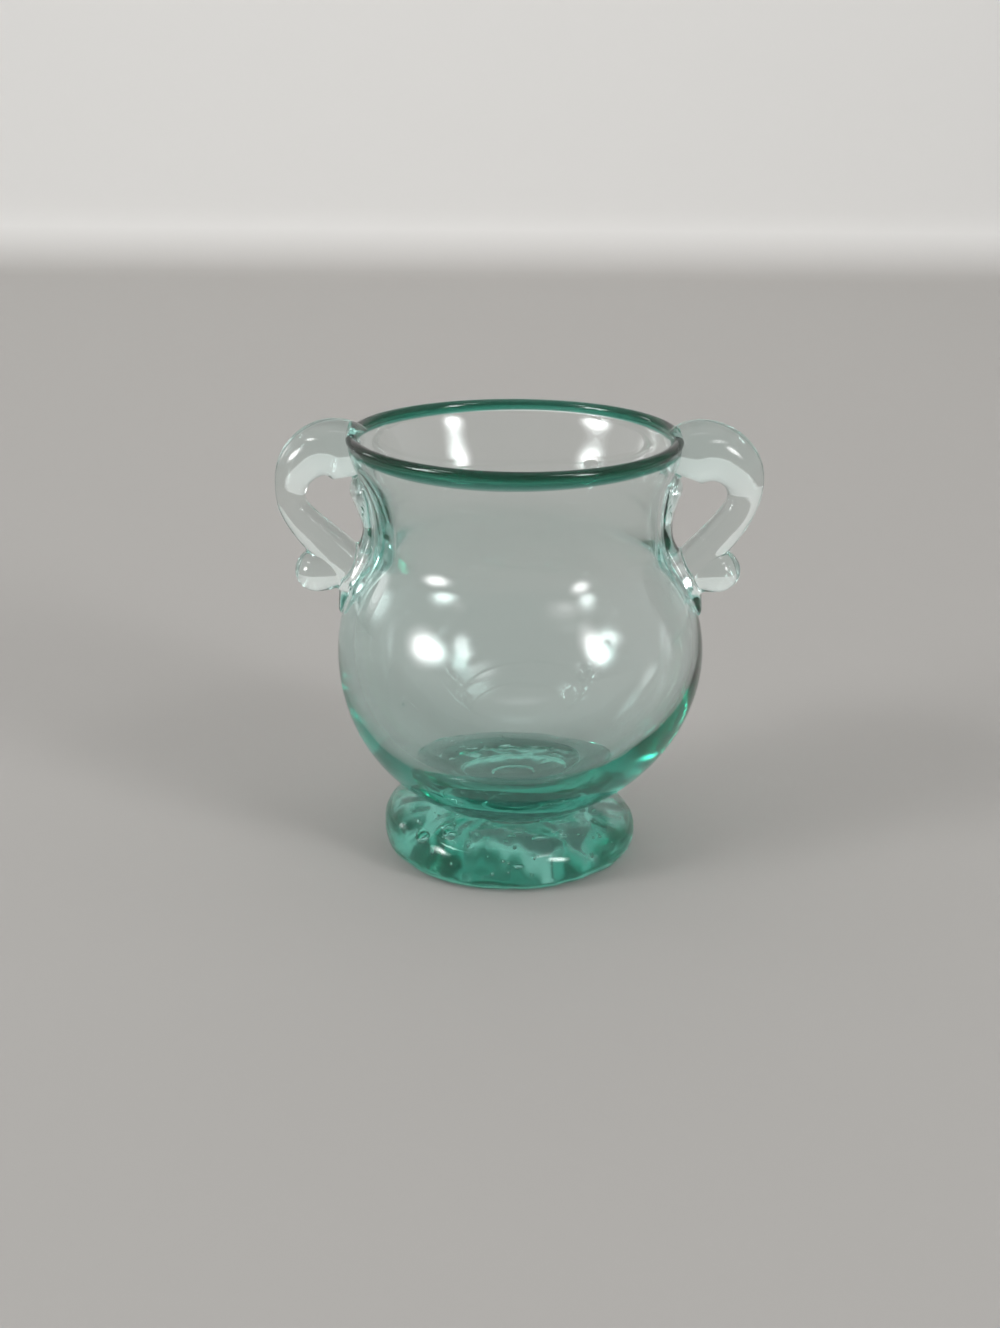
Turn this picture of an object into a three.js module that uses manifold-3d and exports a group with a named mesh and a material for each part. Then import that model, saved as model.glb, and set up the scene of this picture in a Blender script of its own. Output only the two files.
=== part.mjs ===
// A small two-handled vase of pale green hot-worked glass, in millimetres, +Z up.
// It is four gathers of glass fused while hot: the blown body, the foot pad under it, and one
// drawn handle on each side. Every fused joint is left open by one named clearance.
// The origin is on the table, midway between the outer sides of the two handles.

import * as THREE from 'three';
import { mergeVertices } from 'three/addons/utils/BufferGeometryUtils.js';
import Module from 'manifold-3d';

const wasm = await Module();
wasm.setup();

// Blown body: an oval bowl, a waisted neck and a flared, fire-polished rim.
const bowlRadius = 30;
const bowlHalfHeight = 28.2;
const bowlCentreHeight = 35;
const neckRadius = 23.6;
const neckHeight = 56.5;
const rimRadius = 26.95;
const rimHeight = 71.5;
const beadRadius = 0.9;

// Walls: thick at the bottom where the glass was gathered, thin at the neck.
const floorThickness = 4.65;
const bowlWall = 2.1;
const neckWall = 1.5;
const cavityCentreRise = 0.6;

// Hand-made unevenness: how far the foot, bowl and rim stand off the axis along X, and how far
// the hollow stands off the bowl, which leaves one side wall thick and the other thin.
const footDrift = -1.15;
const bowlDrift = 0.45;
const rimDrift = -0.8;
const cavityDrift = 0.65;

// Foot: a pad of glass pressed out under the bowl, thicker on the left.
const footRadius = 21.2;
const footEdgeHeight = 4.1;
const footCollarRadius = 12.6;
const footCollarHeight = 9.6;
const footShoulderDrop = 1.1;
const footWedge = 0.16;
const restRingOuter = 17.8;
const restRingInner = 12.4;
const underRecess = 1.1;
const pontilRadius = 4.6;
const pontilDepth = 0.7;

// Handles: each one drawn bit of glass. Its centreline is a quarter of an oval from the crest to the
// side, then an arm down to the shoulder. Radii run along the bit from its first end to its last.
// A drop is measured down from the rim, a rise up from the bowl's widest level, and the overhang
// out from the bowl's side.
const handleOverhang = 9.25;
const fuseClearance = 0.3;
const padSpread = 1.7;
const padSink = 0.25;
const handles = {
  left: {
    archStart: 150,
    crestOut: 3.3,
    crestDrop: 2.8,
    sideDrop: 10.5,
    sideInset: 2.5,
    elbowDrop: 3.9,
    armAngle: 48,
    armReach: 8,
    shoulderRise: 13.2,
    shoulderSink: 2.6,
    rodRadii: [5.1, 4.85, 3.7, 2.4, 2.9, 3.4, 3.3],
    tailOut: 10,
    tailLift: 0.6,
    tailDrop: 0.1,
    tailRadii: [1.8, 2.4, 3.5, 3.5],
    padTopDrop: 6.5,
    padFootRise: 6,
    padRadii: [3.4, 2.9, 1.9, 2.4, 2.2, 0.9],
  },
  right: {
    archStart: 150,
    crestOut: 2.8,
    crestDrop: 2.85,
    sideDrop: 9.2,
    sideInset: 3.0,
    elbowDrop: 4.4,
    armAngle: 50,
    armReach: 8,
    shoulderRise: 13.2,
    shoulderSink: 2.6,
    rodRadii: [5.3, 5.1, 4.1, 2.7, 2.9, 3.1, 3.0],
    tailOut: 9.4,
    tailLift: 1.6,
    tailDrop: 0.1,
    tailRadii: [2.2, 2.8, 3.6, 3.4],
    padTopDrop: 6,
    padFootRise: 6,
    padRadii: [3.4, 2.8, 2.0, 2.0, 2.4, 2.2, 0.9],
  },
};

// Angles on the bowl and rim where one curve hands over to the next, and facet counts.
const shoulderAngle = THREE.MathUtils.degToRad(26);
const beadJoinAngle = THREE.MathUtils.degToRad(-48);
const bodySegments = 56;
const footSegments = 48;
const ovalSteps = 16;
const wallSteps = 5;
const beadSteps = 6;
const footSteps = 6;
const rodSides = 20;
const rodSteps = 26;
const mergeDistance = 1e-4;

const point = (x, y) => new THREE.Vector2(x, y);

// How far a slice of the vase at a height stands off the axis.
function driftAt(height) {
  const line = new THREE.SplineCurve([
    point(0, footDrift),
    point(bowlCentreHeight, bowlDrift),
    point(rimHeight, rimDrift),
  ]);
  const share = height < bowlCentreHeight
    ? height / bowlCentreHeight / 2
    : 0.5 + (height - bowlCentreHeight) / (rimHeight - bowlCentreHeight) / 2;
  return line.getPoint(THREE.MathUtils.clamp(share, 0, 1)).y;
}

// A point and an upward direction on an oval at an angle from its widest level.
function ovalAt(centreHeight, radius, halfHeight, angle) {
  return {
    place: point(radius * Math.cos(angle), centreHeight + halfHeight * Math.sin(angle)),
    along: point(-radius * Math.sin(angle), halfHeight * Math.cos(angle)).normalize(),
  };
}

// One side of the wall from the bottom on the axis, over the shoulder and neck, to the rim.
function wallOutline(centreHeight, radius, halfHeight, neck, rim) {
  const shoulder = ovalAt(centreHeight, radius, halfHeight, shoulderAngle);
  const toNeck = (neckHeight - shoulder.place.y) / 2;
  const toRim = (rim.y - neckHeight) / 2;
  const first = shoulder.place.clone().addScaledVector(shoulder.along, toNeck);
  const bowl = new THREE.EllipseCurve(0, centreHeight, radius, halfHeight, -Math.PI / 2, shoulderAngle);
  const lower = new THREE.CubicBezierCurve(shoulder.place, first, point(neck, neckHeight - toNeck),
    point(neck, neckHeight));
  const upper = new THREE.CubicBezierCurve(point(neck, neckHeight), point(neck, neckHeight + toRim),
    point(rim.x, rim.y - toRim / 2), rim);
  const outline = bowl.getPoints(ovalSteps);
  outline.push(...lower.getPoints(wallSteps).slice(1));
  outline.push(...upper.getPoints(wallSteps).slice(1));
  outline[0].x = 0;
  return outline;
}

// The round bead that the flame leaves on the rim, from the outer wall over to the inner wall.
function beadOutline() {
  const centre = point(rimRadius - beadRadius, rimHeight - beadRadius);
  const bead = new THREE.EllipseCurve(centre.x, centre.y, beadRadius, beadRadius,
    beadJoinAngle, Math.PI - beadJoinAngle);
  return bead.getPoints(beadSteps);
}

function outerOutline() {
  const bead = beadOutline();
  return wallOutline(bowlCentreHeight, bowlRadius, bowlHalfHeight, neckRadius, bead[0]);
}

function innerOutline() {
  const bead = beadOutline();
  const centreHeight = bowlCentreHeight + cavityCentreRise;
  const floorHeight = bowlCentreHeight - bowlHalfHeight + floorThickness;
  return wallOutline(centreHeight, bowlRadius - bowlWall, centreHeight - floorHeight,
    neckRadius - neckWall, bead[bead.length - 1]);
}

// Moves an outline outwards, square to itself, by a clearance.
function grown(outline, distance) {
  return outline.map((spot, i) => {
    const before = outline[Math.max(i - 1, 0)];
    const after = outline[Math.min(i + 1, outline.length - 1)];
    const along = after.clone().sub(before).normalize();
    return point(spot.x === 0 ? 0 : spot.x + along.y * distance, spot.y - along.x * distance);
  });
}

// A turned shape with its axis upright. shift gives each point of it its sideways drift.
function turned(outline, segments, shift) {
  const shape = new THREE.LatheGeometry(outline, segments).rotateX(Math.PI / 2);
  const places = shape.attributes.position;
  for (let i = 0; i < places.count; i += 1) {
    places.setX(i, places.getX(i) + shift(places.getZ(i), i % outline.length));
  }
  return shape;
}

// A closed solid from a closed surface, with its shared corners joined.
function solidOf(shape) {
  shape.deleteAttribute('normal');
  shape.deleteAttribute('uv');
  const joined = mergeVertices(shape, mergeDistance);
  const corners = joined.index.array;
  const kept = [];
  for (let i = 0; i < corners.length; i += 3) {
    const [a, b, c] = corners.slice(i, i + 3);
    if (a !== b && b !== c && c !== a) {
      kept.push(a, b, c);
    }
  }
  return new wasm.Manifold(new wasm.Mesh({
    numProp: 3,
    vertProperties: new Float32Array(joined.attributes.position.array),
    triVerts: new Uint32Array(kept),
  }));
}

// A named mesh of one solid in one glass.
function meshOf(name, solid, glass) {
  const { numProp, vertProperties, triVerts } = solid.getMesh();
  const shape = new THREE.BufferGeometry();
  shape.setAttribute('position', new THREE.BufferAttribute(vertProperties, numProp));
  shape.setIndex(new THREE.BufferAttribute(triVerts, 1));
  shape.computeVertexNormals();
  const mesh = new THREE.Mesh(shape, new THREE.MeshStandardMaterial(glass));
  mesh.name = name;
  return mesh;
}

// The blown body: outer wall, rim bead and hollow in one outline. The hollow drifts to one side.
function bodySolid() {
  const outer = outerOutline();
  const bead = beadOutline().slice(1, -1);
  const inner = innerOutline().reverse();
  const outline = [...outer, ...bead, ...inner];
  const hollowStart = outer.length + bead.length;
  const floorHeight = inner[inner.length - 1].y;
  const shift = (height, i) => {
    const level = (height - floorHeight) / (rimHeight - floorHeight);
    const offset = i > hollowStart ? cavityDrift * Math.sin(Math.PI * level) : 0;
    return driftAt(height) + offset;
  };
  return solidOf(turned(outline, bodySegments, shift));
}

// The space that the body takes, hollow filled and skin grown by the fused joint's clearance.
function bodyEnvelope() {
  const bead = beadOutline();
  const skin = grown([...outerOutline(), ...bead.slice(1, beadSteps / 2 + 1)], fuseClearance);
  const top = point(0, skin[skin.length - 1].y);
  return solidOf(turned([...skin, top], bodySegments, driftAt));
}

// The foot pad: a flat ring to stand on round a shallow hollow with the pontil scar, a round
// edge, and a collar that cups the bowl. The wedge makes one side thicker and keeps the ring flat.
function footSolid(envelope) {
  const scar = new THREE.EllipseCurve(0, underRecess, pontilRadius, pontilDepth, Math.PI / 2, 0, true);
  const recess = new THREE.QuadraticBezierCurve(point(pontilRadius, underRecess),
    point(restRingInner - underRecess, underRecess), point(restRingInner, 0));
  const under = new THREE.CubicBezierCurve(point(restRingOuter, 0),
    point((restRingOuter + footRadius) / 2, 0),
    point(footRadius, footEdgeHeight / 3), point(footRadius, footEdgeHeight));
  const over = new THREE.CubicBezierCurve(point(footRadius, footEdgeHeight),
    point(footRadius, footCollarHeight - footShoulderDrop),
    point(footCollarRadius + (footRadius - footCollarRadius) / 2, footCollarHeight - footShoulderDrop),
    point(footCollarRadius, footCollarHeight));
  const crown = point(0, footCollarHeight + footShoulderDrop / 2);
  const outline = [...scar.getPoints(footSteps), ...recess.getPoints(footSteps).slice(1),
    ...under.getPoints(footSteps), ...over.getPoints(footSteps).slice(1),
    point(footCollarRadius, crown.y), crown];
  outline[0].x = 0;
  const shape = turned(outline, footSegments, driftAt);
  const places = shape.attributes.position;
  for (let i = 0; i < places.count; i += 1) {
    places.setZ(i, places.getZ(i) * (1 - footWedge * places.getX(i) / footRadius));
  }
  return solidOf(shape).subtract(envelope);
}

// A smooth value along a row of values, for a share from 0 to 1.
function valueAlong(values, share) {
  return new THREE.SplineCurve(values.map((value, i) => point(i, value))).getPoint(share).y;
}

// A round rod with rounded ends, bent along a curve in the XZ plane. spread widens it along Y.
function bentRod(curve, radii, spread = 1) {
  const length = curve.getLength();
  const outline = [];
  for (let i = 0; i <= rodSteps; i += 1) {
    const run = length * (1 - Math.cos(Math.PI * i / rodSteps)) / 2;
    const radius = valueAlong(radii, run / length);
    const end = Math.min(run, length - run, radius) / radius;
    outline.push(point(radius * Math.sqrt(1 - (1 - end) ** 2), run));
  }
  outline[0].x = 0;
  outline[rodSteps].x = 0;
  const rod = new THREE.LatheGeometry(outline, rodSides);
  const spots = rod.attributes.position;
  for (let i = 0; i < spots.count; i += 1) {
    const share = THREE.MathUtils.clamp(spots.getY(i) / length, 0, 1);
    const centre = curve.getPointAt(share);
    const along = curve.getTangentAt(share);
    const off = spots.getX(i);
    spots.setXYZ(i, centre.x - along.y * off, spots.getZ(i) * spread, centre.y + along.x * off);
  }
  return solidOf(rod);
}

// Radius of the body's outer skin at a height above its widest level.
function skinRadiusAt(height) {
  const outline = outerOutline();
  const above = outline.findIndex((spot, i) => i > ovalSteps / 2 && spot.y >= height);
  const upper = outline[above];
  const lower = outline[above - 1];
  const share = (height - lower.y) / (upper.y - lower.y);
  return THREE.MathUtils.lerp(lower.x, upper.x, share);
}

// The centreline of the loop: over the crest, down the side and in to its end inside the shoulder.
function loopPath(size, shoulder) {
  const armAngle = THREE.MathUtils.degToRad(size.armAngle);
  const inwards = point(-Math.cos(armAngle), -Math.sin(armAngle));
  const armStart = shoulder.clone().addScaledVector(inwards, -size.armReach);
  const end = shoulder.clone().addScaledVector(inwards, size.shoulderSink);
  const crest = point(rimRadius + size.crestOut, rimHeight - size.crestDrop);
  const side = point(bowlRadius + handleOverhang - size.sideInset, rimHeight - size.sideDrop);
  const path = new THREE.Path();
  path.absellipse(crest.x, side.y, side.x - crest.x, crest.y - side.y,
    THREE.MathUtils.degToRad(size.archStart), 0, true);
  path.bezierCurveTo(side.x, side.y - size.elbowDrop, armStart.x, armStart.y, end.x, end.y);
  return path;
}

// One handle, drawn outwards along +X: from the rim over the crest, down the loop, pressed on the
// shoulder in a pad, and its tail folded back outwards under the arm. side is 1 right, -1 left.
function handleSolid(size, side, envelope) {
  const seatAt = (height, out) => point(skinRadiusAt(height) + side * driftAt(height) + out, height);
  const shoulder = seatAt(bowlCentreHeight + size.shoulderRise, 0);
  const tailRoot = point(shoulder.x - size.shoulderSink, shoulder.y - size.tailDrop);
  const tailTip = point(shoulder.x + size.tailOut, tailRoot.y + size.tailLift);
  const tailPath = new THREE.QuadraticBezierCurve(tailRoot,
    point((tailRoot.x + tailTip.x) / 2, tailRoot.y), tailTip);
  const padTop = rimHeight - size.padTopDrop;
  const padFoot = bowlCentreHeight + size.padFootRise;
  const padPath = new THREE.SplineCurve(size.padRadii.map((radius, i) => {
    const level = THREE.MathUtils.lerp(padTop, padFoot, i / (size.padRadii.length - 1));
    return seatAt(level, -radius * padSink);
  }));
  const loop = bentRod(loopPath(size, shoulder), size.rodRadii);
  const tail = bentRod(tailPath, size.tailRadii);
  const pad = bentRod(padPath, size.padRadii, padSpread);
  const turn = side > 0 ? 0 : 180;
  return loop.add(tail).add(pad).rotate([0, 0, turn]).subtract(envelope);
}

const bodyGlass = { color: 0xa9d8c6, roughness: 0.05, metalness: 0 };
const footGlass = { color: 0x6fc0a4, roughness: 0.12, metalness: 0 };
const handleGlass = { color: 0xdfe9e2, roughness: 0.05, metalness: 0 };

const envelope = bodyEnvelope();
const vase = new THREE.Group();
vase.add(meshOf('vessel_body', bodySolid(), bodyGlass));
vase.add(meshOf('foot', footSolid(envelope), footGlass));
vase.add(meshOf('handle_left', handleSolid(handles.left, -1, envelope), handleGlass));
vase.add(meshOf('handle_right', handleSolid(handles.right, 1, envelope), handleGlass));

export default vase;
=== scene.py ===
"""A small two-handled vase of pale green hot-worked glass on a plain pale table.

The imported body, foot and handles are faceted solids with an open clearance at each fused joint.
Each one is replaced here by a finely made piece of the same glass, whose joint is closed.
Sizes are in millimetres, unless a comment says metres. +Z is up, and the origin is on the table
between the handles.
"""

import math

import bmesh
import bpy
import numpy as np
from mathutils import Matrix, Vector, noise

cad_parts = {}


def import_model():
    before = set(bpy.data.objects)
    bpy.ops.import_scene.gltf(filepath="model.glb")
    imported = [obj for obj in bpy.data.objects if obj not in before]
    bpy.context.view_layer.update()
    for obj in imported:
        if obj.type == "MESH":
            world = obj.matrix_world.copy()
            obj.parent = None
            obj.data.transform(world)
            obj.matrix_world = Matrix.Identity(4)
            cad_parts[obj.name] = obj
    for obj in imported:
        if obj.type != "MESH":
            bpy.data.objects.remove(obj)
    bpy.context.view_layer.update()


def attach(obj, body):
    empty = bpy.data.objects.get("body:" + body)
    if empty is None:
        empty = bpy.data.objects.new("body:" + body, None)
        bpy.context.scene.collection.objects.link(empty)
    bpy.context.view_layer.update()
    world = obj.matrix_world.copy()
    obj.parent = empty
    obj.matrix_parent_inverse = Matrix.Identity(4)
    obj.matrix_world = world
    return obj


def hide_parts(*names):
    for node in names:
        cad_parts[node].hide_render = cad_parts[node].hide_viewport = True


MM = 0.001

# Blown body.
BOWL_RADIUS = 30.0
BOWL_HALF_HEIGHT = 28.2
BOWL_CENTRE = 35.0
NECK_RADIUS = 23.6
NECK_HEIGHT = 56.5
RIM_RADIUS = 26.95
RIM_HEIGHT = 71.5
BEAD_RADIUS = 0.9
FLOOR_THICKNESS = 4.65
BOWL_WALL = 2.1
NECK_WALL = 1.5
CAVITY_RISE = 0.6
CAVITY_FLOOR = BOWL_CENTRE - BOWL_HALF_HEIGHT + FLOOR_THICKNESS
FOOT_DRIFT = -1.15
BOWL_DRIFT = 0.45
RIM_DRIFT = -0.8
CAVITY_DRIFT = 0.65
SHOULDER_ANGLE = math.radians(26)
BEAD_JOIN_ANGLE = math.radians(-48)

# Unevenness of the blown wall. Each wave has its turns round the axis, the height that shifts it by
# one radian, its phase and its weight. The skin's waves are turned against the cavity's, start at a
# height above the foot and end at the rim. The cavity's end towards the middle of its floor.
SWELL_WAVES = ((2, 14, 0.7, 1.0), (3, -9, 2.1, 0.7), (5, 6, 4.0, 0.45), (2, 3.1, 0.0, 0.3))
CAVITY_SWELL = 0.07
CAVITY_CALM_RADIUS = 12
SKIN_SWELL = 0.035
SKIN_SWELL_TURN = 1.3
SKIN_SWELL_START = 16
SKIN_SWELL_RISE = 10
SKIN_SWELL_END = RIM_HEIGHT + 1
SKIN_SWELL_FALL = 6

# The rim stands a little higher on two sides, from a height in the neck on.
RIM_WAVE = 0.12
RIM_WAVE_PHASE = 0.9
RIM_WAVE_START = 60
RIM_WAVE_RISE = 10

# Foot. A short post carries its upper side on into the bowl.
FOOT_RADIUS = 21.2
FOOT_EDGE_HEIGHT = 4.1
COLLAR_RADIUS = 12.6
COLLAR_HEIGHT = 9.6
SHOULDER_DROP = 1.1
POST_HEIGHT = 2
FOOT_WEDGE = 0.16
REST_OUTER = 17.8
REST_INNER = 12.4
UNDER_RECESS = 1.1
PONTIL_RADIUS = 4.6
PONTIL_DEPTH = 0.7

# Tool marks on the foot: how wide the broad and the fine ones are, the turns of the ridges, and
# how strong the broad, ridged and fine ones are in the underside and in the edge. Those of the
# underside only lift it, and end at a height. Those of the edge fade out towards the bowl.
BROAD_MARK = 5.5
BROAD_MARK_HEIGHT = 6
FINE_MARK = 2.2
RIDGES = 7
MARK_SHIFTS = (3.1, 9.4, 20)
UNDER_MARKS = (0.42, 0.06, 0.20)
UNDER_LIFT = 0.10
UNDER_ROUNDING = 0.05
UNDER_TOP = 2.2
MARKS_END = 5.0
EDGE_MARKS = (0.15, 0.03, 0.04)
EDGE_MARK_RISE = 0.7
MARKS_FADE_RINGS = 8

# Handles, each drawn outwards along +X from the body and turned round for the left side.
HANDLE_OVERHANG = 9.25
PAD_SPREAD = 1.7
PAD_SINK = 0.25
HANDLES = {
    "left": dict(
        arch_start=150, crest_out=3.3, crest_drop=2.8, side_drop=10.5, side_inset=2.5,
        elbow_drop=3.9, arm_angle=48, arm_reach=8, shoulder_rise=13.2, shoulder_sink=2.6,
        rod_radii=[5.1, 4.85, 3.7, 2.4, 2.9, 3.4, 3.3],
        tail_out=10, tail_lift=0.6, tail_drop=0.1, tail_radii=[1.8, 2.4, 3.5, 3.5],
        pad_top_drop=6.5, pad_foot_rise=6, pad_radii=[3.4, 2.9, 1.9, 2.4, 2.2, 0.9],
    ),
    "right": dict(
        arch_start=150, crest_out=2.8, crest_drop=2.85, side_drop=9.2, side_inset=3.0,
        elbow_drop=4.4, arm_angle=50, arm_reach=8, shoulder_rise=13.2, shoulder_sink=2.6,
        rod_radii=[5.3, 5.1, 4.1, 2.7, 2.9, 3.1, 3.0],
        tail_out=9.4, tail_lift=1.6, tail_drop=0.1, tail_radii=[2.2, 2.8, 3.6, 3.4],
        pad_top_drop=6, pad_foot_rise=6, pad_radii=[3.4, 2.8, 2.0, 2.0, 2.4, 2.2, 0.9],
    ),
}

# How finely the rods of a handle run together, and how far they soften.
MELT_VOXEL = 0.24
SOFTEN_FACTOR = 0.5
SOFTEN_STEPS = 9

# Joints: how far the foot reaches into the body's skin, and how far the handles stand off it.
# Material slots mark where faces come from. Points closer than the weld, in metres, are one.
FOOT_OVERLAP = 0.02
HANDLE_FILM = 0.02
WELD = 1e-7
OUTSIDE, FROM_HANDLE, UNDER_FOOT = 0, 1, 2

# The deeper green in the rim: the rings of wall below the bead and the share of them it reaches
# down, its share of the wall's thickness, how much more of both at the front, how both wander round
# the rim, and how it thins out to its lower edge.
RIM_REACH = 3
RIM_REACH_MIDDLE = 0.5
RIM_REACH_SWING = 0.3
RIM_REACH_WANDER = 0.1
RIM_CORE_SHARE = 0.76
RIM_CORE_SWING = 0.13
RIM_CORE_TURN = 0.4
RIM_CORE_WANDER = 0.04
RIM_CORE_TAPER = 1.5
RIM_CORE_EDGE = 0.03

# Bubbles in the foot, as ranges for radius, height and size, and the proportions of each.
FOOT_BUBBLES = (
    dict(count=160, radius=(7, 19), height=(2.6, 5.4), size=(0.10, 0.30), shape=(1, 1.5, 1)),
    dict(count=30, radius=(9, 17.5), height=(2.8, 5.0), size=(0.3, 0.8), shape=(1, 1.8, 0.3)),
)
FOOT_BUBBLE_SEED = 11

# Bubbles in the body: two in the thick bottom, each a centre, its half sizes and a turn, and some
# in the wall, as ranges for the angle from the widest level and for the size.
BOTTOM_BUBBLES = (
    ((-8.6, -10.5, 12.3), (0.5, 0.4, 0.35), 0),
    ((7.6, -11.0, 12.2), (0.45, 0.4, 0.35), 0),
)
WALL_BUBBLES = dict(count=6, level=(-1.15, -0.6), size=(0.12, 0.26), shape=(1, 1.4, 1))
WALL_BUBBLE_DEPTH = 1.0
WALL_BUBBLE_SEED = 5

# Each glass: the red, green and blue it takes up per metre, the waves per metre and the height of
# its cords, the roughness of its smears, and of an underside that stood on the marver.
GLASSES = {
    "body_glass": dict(soaked=(42, 13, 17), waves=45, wave_height=0.04, haze=0.08),
    "foot_glass": dict(soaked=(60, 17, 24), waves=220, wave_height=0.05, haze=0.08, ground=0.18),
    "handle_glass": dict(soaked=(20, 7, 9), waves=90, wave_height=0.05, haze=0.03),
}
RIM_SOAKED = (3300, 1250, 1600)
GLASS_IOR = 1.5
HANDLE_SEAM_IOR = 1.15
SMEAR_WAVES = 90
SMEAR_STRETCH = (1, 1, 0.4)
SMEAR_SHARE = (0.45, 0.8)
CORD_STRETCH = (1, 1, 2.2)
TONE_WAVES = 140
TONES = ((0.985, 0.995, 0.992, 1), (1, 1, 1, 1))
GROUND_HEIGHTS = (1.2, 3.2)
TINT_HEADROOM = 1.25

# Light runs a long way round inside the thick wall before it comes out.
GLASS_BOUNCES = 128
CLEAR_BOUNCES = 24

# Stage, in metres: where the table starts, where the wall stands, its height, half the width, the
# round between them, and the heights over which the table's colour turns into the wall's.
TABLE_COLOUR = (0.46, 0.447, 0.43)
WALL_COLOUR = (0.76, 0.752, 0.735)
STAGE_ROUGHNESS = 0.9
TABLE_FRONT = -0.9
WALL_BACK = 0.67
WALL_TOP = 1.6
STAGE_HALF_WIDTH = 2.2
STAGE_ROUND = 0.03
STAGE_ROUND_STEPS = 9
COLOUR_TURN = (0.002, 0.02)

# Lamps, in metres and degrees: azimuth, elevation, distance, width, height and radiance. Azimuth 0
# is the camera's side, 90 is +X. Each is a stack of discs, given by size and share of the light.
LAMPS = {
    "window_left": (-63, 11.5, 1.3, 0.74, 0.62, 21),
    "window_left_high": (-60, 42, 1.3, 0.66, 0.26, 13),
    "window_right": (48, 20, 1.3, 0.46, 0.76, 17),
    "window_right_high": (42, 46, 1.3, 0.8, 0.44, 6),
    "side_light": (-118, 14, 1.3, 0.6, 0.6, 4),
}
LAMP_AIM = (0, 0, 0.035)
LAMP_GRID = 60
WALL_LAMP = (0, 50, 1.2, 1.6, 0.6, 9)
WALL_LAMP_AIM = (0, WALL_BACK, 0.45)
WALL_LAMP_GRID = 36
LAMP_DISCS = ((1.0, 0.05), (0.86, 0.10), (0.72, 0.18), (0.57, 0.29), (0.42, 0.38))
LAMP_DISC_STEP = 0.01

# Light all round: its colour, and its strength on the camera's side and at the back.
WORLD_COLOUR = (1, 0.995, 0.985, 1)
WORLD_RAMP = {"From Min": -0.6, "From Max": 0.6, "To Min": 0.36, "To Max": 0.82}

# Camera: its place, its tilt down and roll in degrees, its lens, and its near end in metres.
CAMERA_PLACE = (-2.85, -312.61, 142.06)
CAMERA_DOWN = 19.34
CAMERA_ROLL = 0.45
CAMERA_LENS = 54.22
CAMERA_NEAR = 0.01

# Mesh steps round the axis, and up the fused joint, the bowl, half the neck, the bead, the cavity,
# and the foot's upper side, scar, recess, standing ring and lower edge.
COLUMNS = 240
CUP_RINGS = 16
BOWL_RINGS = 52
NECK_RINGS = 18
BEAD_RINGS = 18
CAVITY_RINGS = 64
EDGE_RINGS = 34
SCAR_RINGS = 10
RECESS_RINGS = 14
REST_RINGS = 8
LOWER_EDGE_RINGS = 14

# Steps of the outlines and paths that points are read from.
SKIN_STEPS = 40
OVER_STEPS = 400
POST_STEPS = 50
PATH_STEPS = 200
TAIL_STEPS = 120


def spline(values, share):
    """A smooth value along a row of values, for shares from 0 to 1."""
    v = np.asarray(values, float)
    t = np.clip(np.asarray(share, float), 0, 1) * (len(v) - 1)
    i = np.minimum(t.astype(int), len(v) - 1)
    w = t - i
    p0, p1, p2, p3 = (v[np.clip(i + k, 0, len(v) - 1)] for k in (-1, 0, 1, 2))
    v0, v1 = (p2 - p0) / 2, (p3 - p1) / 2
    return (2 * p1 - 2 * p2 + v0 + v1) * w**3 + (3 * p2 - 3 * p1 - 2 * v0 - v1) * w**2 + v0 * w + p1


def drift(height):
    """How far a slice of the vase at a height stands off the axis along X."""
    h = np.asarray(height, float)
    low = h / BOWL_CENTRE / 2
    high = 0.5 + (h - BOWL_CENTRE) / (RIM_HEIGHT - BOWL_CENTRE) / 2
    return spline([FOOT_DRIFT, BOWL_DRIFT, RIM_DRIFT], np.where(h < BOWL_CENTRE, low, high))


def arc(centre, rx, ry, start, end, steps):
    a = np.linspace(start, end, steps + 1)
    return np.stack([centre[0] + rx * np.cos(a), centre[1] + ry * np.sin(a)], 1)


def bezier(points, steps):
    t = np.linspace(0, 1, steps + 1)[:, None]
    p = np.asarray(points, float)
    while len(p) > 1:
        p = [a + (b - a) * t for a, b in zip(p[:-1], p[1:])]
    return p[0]


def bead_outline():
    centre = (RIM_RADIUS - BEAD_RADIUS, RIM_HEIGHT - BEAD_RADIUS)
    end = math.pi - BEAD_JOIN_ANGLE
    return arc(centre, BEAD_RADIUS, BEAD_RADIUS, BEAD_JOIN_ANGLE, end, BEAD_RINGS)


def neck_outline(centre_height, radius, half_height, neck, rim):
    """The wall from the bowl's shoulder over the neck to the bead."""
    a = SHOULDER_ANGLE
    shoulder = np.array([radius * math.cos(a), centre_height + half_height * math.sin(a)])
    along = np.array([-radius * math.sin(a), half_height * math.cos(a)])
    along /= np.hypot(*along)
    to_neck = (NECK_HEIGHT - shoulder[1]) / 2
    to_rim = (rim[1] - NECK_HEIGHT) / 2
    lower = bezier([shoulder, shoulder + along * to_neck, (neck, NECK_HEIGHT - to_neck),
                    (neck, NECK_HEIGHT)], NECK_RINGS)
    upper = bezier([(neck, NECK_HEIGHT), (neck, NECK_HEIGHT + to_rim),
                    (rim[0], rim[1] - to_rim / 2), rim], NECK_RINGS)
    return np.concatenate([lower[1:], upper[1:]])


def outer_neck():
    return neck_outline(BOWL_CENTRE, BOWL_RADIUS, BOWL_HALF_HEIGHT, NECK_RADIUS, bead_outline()[0])


def skin_radius(height):
    """Radius of the body's outer skin at a height above its widest level."""
    bowl = arc((0, BOWL_CENTRE), BOWL_RADIUS, BOWL_HALF_HEIGHT, 0, SHOULDER_ANGLE, SKIN_STEPS)
    outline = np.concatenate([bowl, outer_neck()])
    return np.interp(height, outline[:, 1], outline[:, 0])


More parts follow.
